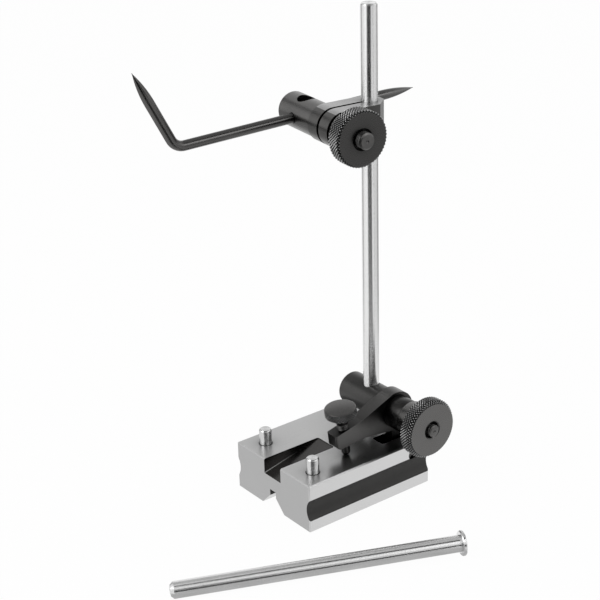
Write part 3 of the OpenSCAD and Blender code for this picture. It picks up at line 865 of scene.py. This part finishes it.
# %% [markdown]
# The clamp knob and the scriber's nut are the same form in two sizes: a boss, a
# knurled rim, a bevel that the knurl runs out on, and a flat face with a recess for
# the end of the draw bolt. Their sizes are diameters and lengths in
# millimetres, and one function turns them into an outline.

# %% The knob and the nut
KNURL_DEPTH = 0.5
EDGE = 0.4
CLAMP_KNOB = {
    "boss": 18.1, "boss_length": 9.2, "rim": 30.2, "rim_length": 4.8, "face": 27.1,
    "bevel": 2.1, "recess": 9.4, "recess_depth": 3.0, "bore": 6.1, "teeth": 62,
}
SCRIBER_NUT = {
    "boss": 20.0, "boss_length": 5.3, "rim": 27.2, "rim_length": 7.0, "face": 25.2,
    "bevel": 0.8, "recess": 10.4, "recess_depth": 2.0, "bore": 8.1, "teeth": 52,
}


def knurled_knob(name, knob, black, place, body, node):
    """A stepped knob: a boss, a knurled rim, a bevel and a face with a recess."""
    boss, rim, face = knob["boss"] / 2, knob["rim"] / 2, knob["face"] / 2
    recess, bore, teeth = knob["recess"] / 2, knob["bore"] / 2, knob["teeth"]
    under = knob["boss_length"]
    bend = under + knob["rim_length"]
    top = bend + knob["bevel"]
    slope = (rim - face) / knob["bevel"]
    knurl = {
        "radius": rim, "depth": KNURL_DEPTH, "low": under + EDGE / 2, "bend": bend,
        "high": top - 0.1, "slope": slope,
    }
    levels = (black * 0.9, black * 1.1)
    finish = black_oxide(name + "_steel", levels, 0.28, turned=True, rim=knurl)
    inner = [
        (bore, 0), (boss - EDGE, 0), (boss - EDGE * 0.3, EDGE * 0.3),
        (boss, EDGE), (boss, under), (rim - EDGE - KNURL_DEPTH, under),
    ]
    outer = [
        (face - 0.2, top), (recess + 0.1, top), (recess, top - 0.1),
        (recess - EDGE, top - EDGE), (recess - EDGE, top - knob["recess_depth"]),
        (bore, top - knob["recess_depth"]),
    ]
    count = teeth * PER_TOOTH
    rows = [spin(r, z, count) for r, z in inner]
    rows += knurled_rows(rim, under + EDGE, bend, teeth, KNURL_DEPTH)
    rows += knurled_rows(rim, bend, top - 0.08, teeth, KNURL_DEPTH, slope)[1:]
    rows += [spin(r, z, count) for r, z in outer]
    new_piece(name, rows, False, place, finish, body, node)


HUB_Z = 40.7
SCRIBER_REACH = -19.8
knob_place = facing_front(SPINDLE_X, -29.5, HUB_Z)
clamp_place = move(SPINDLE_X, 0, 186.2) @ turn_about("Z", -6.2)
nut_place = clamp_place @ facing_front(SCRIBER_REACH, -11.1, 0)
knurled_knob("knurled_clamp_knob", CLAMP_KNOB, 0.125, knob_place, "knob", "clamp_knob")
knurled_knob("knurled_scriber_nut", SCRIBER_NUT, 0.07, nut_place, "nut", "scriber_nut")

# %% [markdown]
# The thumb screw shows its thread above and below the arm. A thread is a ridge
# that climbs one pitch in each turn, so the radius at a point depends on its height
# less its share of a turn. The foot is a smooth half ball, so that it slides
# on the block when the arm tilts.

# %% Threads and the thumb screw
ROCKER_Y = -15.75
SCREW_X = -31.1
ARM_DROP = -7.5


def threaded_rows(radius, low, high, pitch, depth, count, per_turn=8):
    """Rows of points over a thread, which fades out at both ends."""
    steps = round((high - low) / pitch * per_turn)
    rows = []
    for k in range(steps + 1):
        z = low + (high - low) * k / steps
        fade = min(1, (z - low) / pitch, (high - z) / pitch)
        row = []
        for i in range(count):
            r = radius - depth * fade * wave(z / pitch - i / count)
            angle = math.tau * i / count
            row.append((r * math.cos(angle), r * math.sin(angle), z))
        rows.append(row)
    return rows


def thumb_screw():
    end, thread, neck, head = 2.2, 2.8, 4.1, 8.0
    foot_z, arm_z, neck_z, under_z, top = -9.068, 6.9, 9.1, 11.3, 15.8
    pitch, thread_depth, neck_depth = 0.8, 0.42, 0.5
    knurl_depth, teeth = 0.4, 34
    shank_z, count = foot_z + 3.6, teeth * PER_TOOTH
    below = [math.radians(a) for a in (4, 15, 30, 45, 60, 75, 90)]
    foot = [(end * math.sin(a), foot_z - end * math.cos(a)) for a in below]
    foot.append((end, shank_z))
    crown = [(head - 0.25, top - 0.35), (head - 0.6, top - 0.1), (head - 0.95, top)]
    rows = [spin(r, z, count) for r, z in foot]
    rows += threaded_rows(thread, shank_z + 0.1, arm_z, pitch, thread_depth, count)
    rows += threaded_rows(neck, neck_z, under_z, pitch, neck_depth, count)
    rows += [spin(neck, under_z, count), spin(head - 0.9, under_z, count)]
    rows += knurled_rows(head, under_z + 0.6, top - 0.6, teeth, knurl_depth)
    rows += [spin(r, z, count) for r, z in crown]
    arm_place = move(SPINDLE_X, ROCKER_Y, HUB_Z) @ turn_about("Y", ARM_DROP)
    knurl = {
        "radius": head, "depth": knurl_depth, "low": under_z + 0.4, "bend": top,
        "high": top - 0.5, "slope": 0.0,
    }
    levels = (0.095, 0.125)
    finish = black_oxide("knurled_screw_steel", levels, 0.28, turned=True, rim=knurl)
    new_piece(
        "knurled_thumb_screw", rows, True, arm_place @ move(SCREW_X, 0, 0), finish,
        "fine_screw", "fine_adjust_screw",
    )


thumb_screw()

# %% [markdown]
# The sleeve behind the knob and the washer behind the nut are plain turned rings.
# The ends of both draw bolts show in the recesses of their knobs, each with the
# centre mark that the lathe leaves.


# %% Rings and bolt ends
def ring_outline(outer, inner, length):
    """A ring with softly rounded outer edges."""
    ro, ri, step = outer / 2, inner / 2, EDGE * 0.3
    return [
        (ri, 0), (ro - EDGE, 0), (ro - step, step), (ro, EDGE),
        (ro, length - EDGE), (ro - step, length - step), (ro - EDGE, length),
        (ri, length),
    ]


def bolt_end(name, diameter, up, place, body):
    """The threaded end of a draw bolt, which stands up from the bolt's own end."""
    r, count = diameter / 2, 48
    rows = [spin(r - 0.4, 0, count)]
    rows += threaded_rows(r, 0.1, up - 0.5, 1.0, 0.45, count)
    end = [(r - 0.4, up - 0.3), (r - 0.7, up - 0.05), (r - 0.9, up)]
    centre_mark = [(0.85, up), (0.75, up - 0.1), (0.1, up - 0.42)]
    rows += [spin(radius, z, count) for radius, z in end + centre_mark]
    new_piece(name, rows, True, place, bright_black, body, None)


# The spacer and the washer sit in shade between other pieces, and their very dark black
# is painted shade.
turned(
    "turned_spacer", ring_outline(outer=16.8, inner=6.3, length=10),
    facing_front(SPINDLE_X, -19.5, HUB_Z),
    shaded_black_turned, "spindle_swivel", "clamp_spacer", "black_steel", bored=True,
)
turned(
    "turned_washer", ring_outline(outer=14, inner=8.3, length=3.08),
    clamp_place @ facing_front(SCRIBER_REACH, -8, 0),
    shaded_black_turned, "spindle_clamp", "scriber_washer", "black_steel", bored=True,
)
bolt_end(
    "spindle_bolt_end", diameter=6, up=2.5,
    place=knob_place @ move(0, 0, 15.2), body="spindle_swivel",
)
bolt_end(
    "scriber_bolt_end", diameter=8, up=4.6,
    place=nut_place @ move(0, 0, 12.2), body="scriber_swivel",
)

# %% [markdown]
# The scriber is one rod with a slender point at each end and one of them bent up.
# It is a circle swept along a line whose radius follows the rod. The points lie
# closer together near the tips, where the radius changes most.


# %% The scriber
def sweep(name, path, radii, place, material, body, node, count=32):
    """A tube along a path, with a frame carried from point to point."""
    points = [Vector(p) for p in path]
    circle = [(math.cos(math.tau * k / count), math.sin(math.tau * k / count))
              for k in range(count)]
    side = None
    rows = []
    for i, point in enumerate(points):
        last, following = points[max(i - 1, 0)], points[min(i + 1, len(points) - 1)]
        ahead = (following - last).normalized()
        side = ahead.orthogonal() if side is None else side - ahead * side.dot(ahead)
        side.normalize()
        over = ahead.cross(side)
        rows.append([point + (side * u + over * v) * radii[i] for u, v in circle])
    return new_piece(name, rows, True, place, material, body, node)


def taper_radius(distance, length, diameter, tip=0.15):
    """The radius of a slender point, at a distance from its tip."""
    if distance >= length:
        return diameter / 2
    reach = (length ** 2 + diameter ** 2 / 4) / diameter
    z = length - distance
    return max(math.sqrt(reach ** 2 - z ** 2) - reach + diameter / 2, tip)


def scriber():
    front, back, leg, diameter = 61.0, 70.0, 42.2, 4.9
    front_taper, leg_taper = 18, 17
    bend, bend_r = math.radians(65.6), 7.0
    bend_in = bend_r * math.tan(bend / 2)
    straight, rest = back - bend_in, leg - bend_in
    path, radii = [], []
    for k in range(61):
        x = front - (front + straight) * (k / 60) ** 1.5
        path.append((x, 0, 0))
        radii.append(taper_radius(front - x, front_taper, diameter))
    for k in range(1, 15):
        a = bend * k / 14
        path.append((-straight - bend_r * math.sin(a), 0, bend_r * (1 - math.cos(a))))
        radii.append(diameter / 2)
    end = Vector(path[-1])
    way = Vector((-math.cos(bend), 0, math.sin(bend)))
    for k in range(1, 31):
        far = rest * (1 - (1 - k / 30) ** 1.5)
        path.append(end + way * far)
        radii.append(taper_radius(rest - far, leg_taper, diameter))
    barrel_place = clamp_place @ move(SCRIBER_REACH, 8.4, 0) @ turn_about("Y", -2.5)
    sweep(
        "tapered_scriber", path, radii, barrel_place @ move(0, 15, 0), scriber_steel,
        "scriber_rod", "scriber",
    )


scriber()

# %% [markdown]
# The spring under the rocker's tail is the same sweep along a helix, and its mesh
# is then copied, so that it has one of its own.


# %% The rocker's spring
def rocker_coil():
    low, high, wire, radius, turns, per_turn = 5.76, 16.54, 0.35, 1.95, 6, 32
    path = []
    for i in range(turns * per_turn + 1):
        share = i / (turns * per_turn)
        angle = math.tau * turns * share
        z = low + (high - low) * share
        path.append((radius * math.cos(angle), radius * math.sin(angle), z))
    return sweep(
        "rocker_coil", path, [wire] * len(path), move(33.8, ROCKER_Y, 0), spring_steel,
        "base", "rocker_spring", 14,
    )


coil = rocker_coil()
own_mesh(coil)

# %% [markdown]
# The rest of the pieces have the right shape in the CAD already, such as the
# block, the arm, the split clamp and the cross-drilled barrels. They stay as they
# are and only get their finish.

# %% Finishes of the CAD's own pieces
CAD_FINISHES = {
    "base_block": (ground_steel, "ground_steel"),
    "spindle_clamp_body": (clamp_steel, "black_steel"),
    "scriber_barrel": (black_steel, "black_steel"),
    "rocker_pivot_pin": (black_steel, "black_steel"),
    "rocker_arm": (arm_steel, "black_steel"),
    # The barrel by the arm takes a darker black, as painted shade.
    "spindle_barrel": (shaded_black, "black_steel"),
    "spindle_bolt": (bright_black, "black_steel"),
    "scriber_bolt": (bright_black, "black_steel"),
    "pin_ring_near": (spring_steel, "spring_steel"),
    "pin_ring_far": (spring_steel, "spring_steel"),
}


def finish_node(name, material):
    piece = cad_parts[name]
    for holder in piece.material_slots:
        holder.material = material
    if not piece.material_slots:
        piece.data.materials.append(material)


for name, (material, slot) in CAD_FINISHES.items():
    finish_node(name, material)
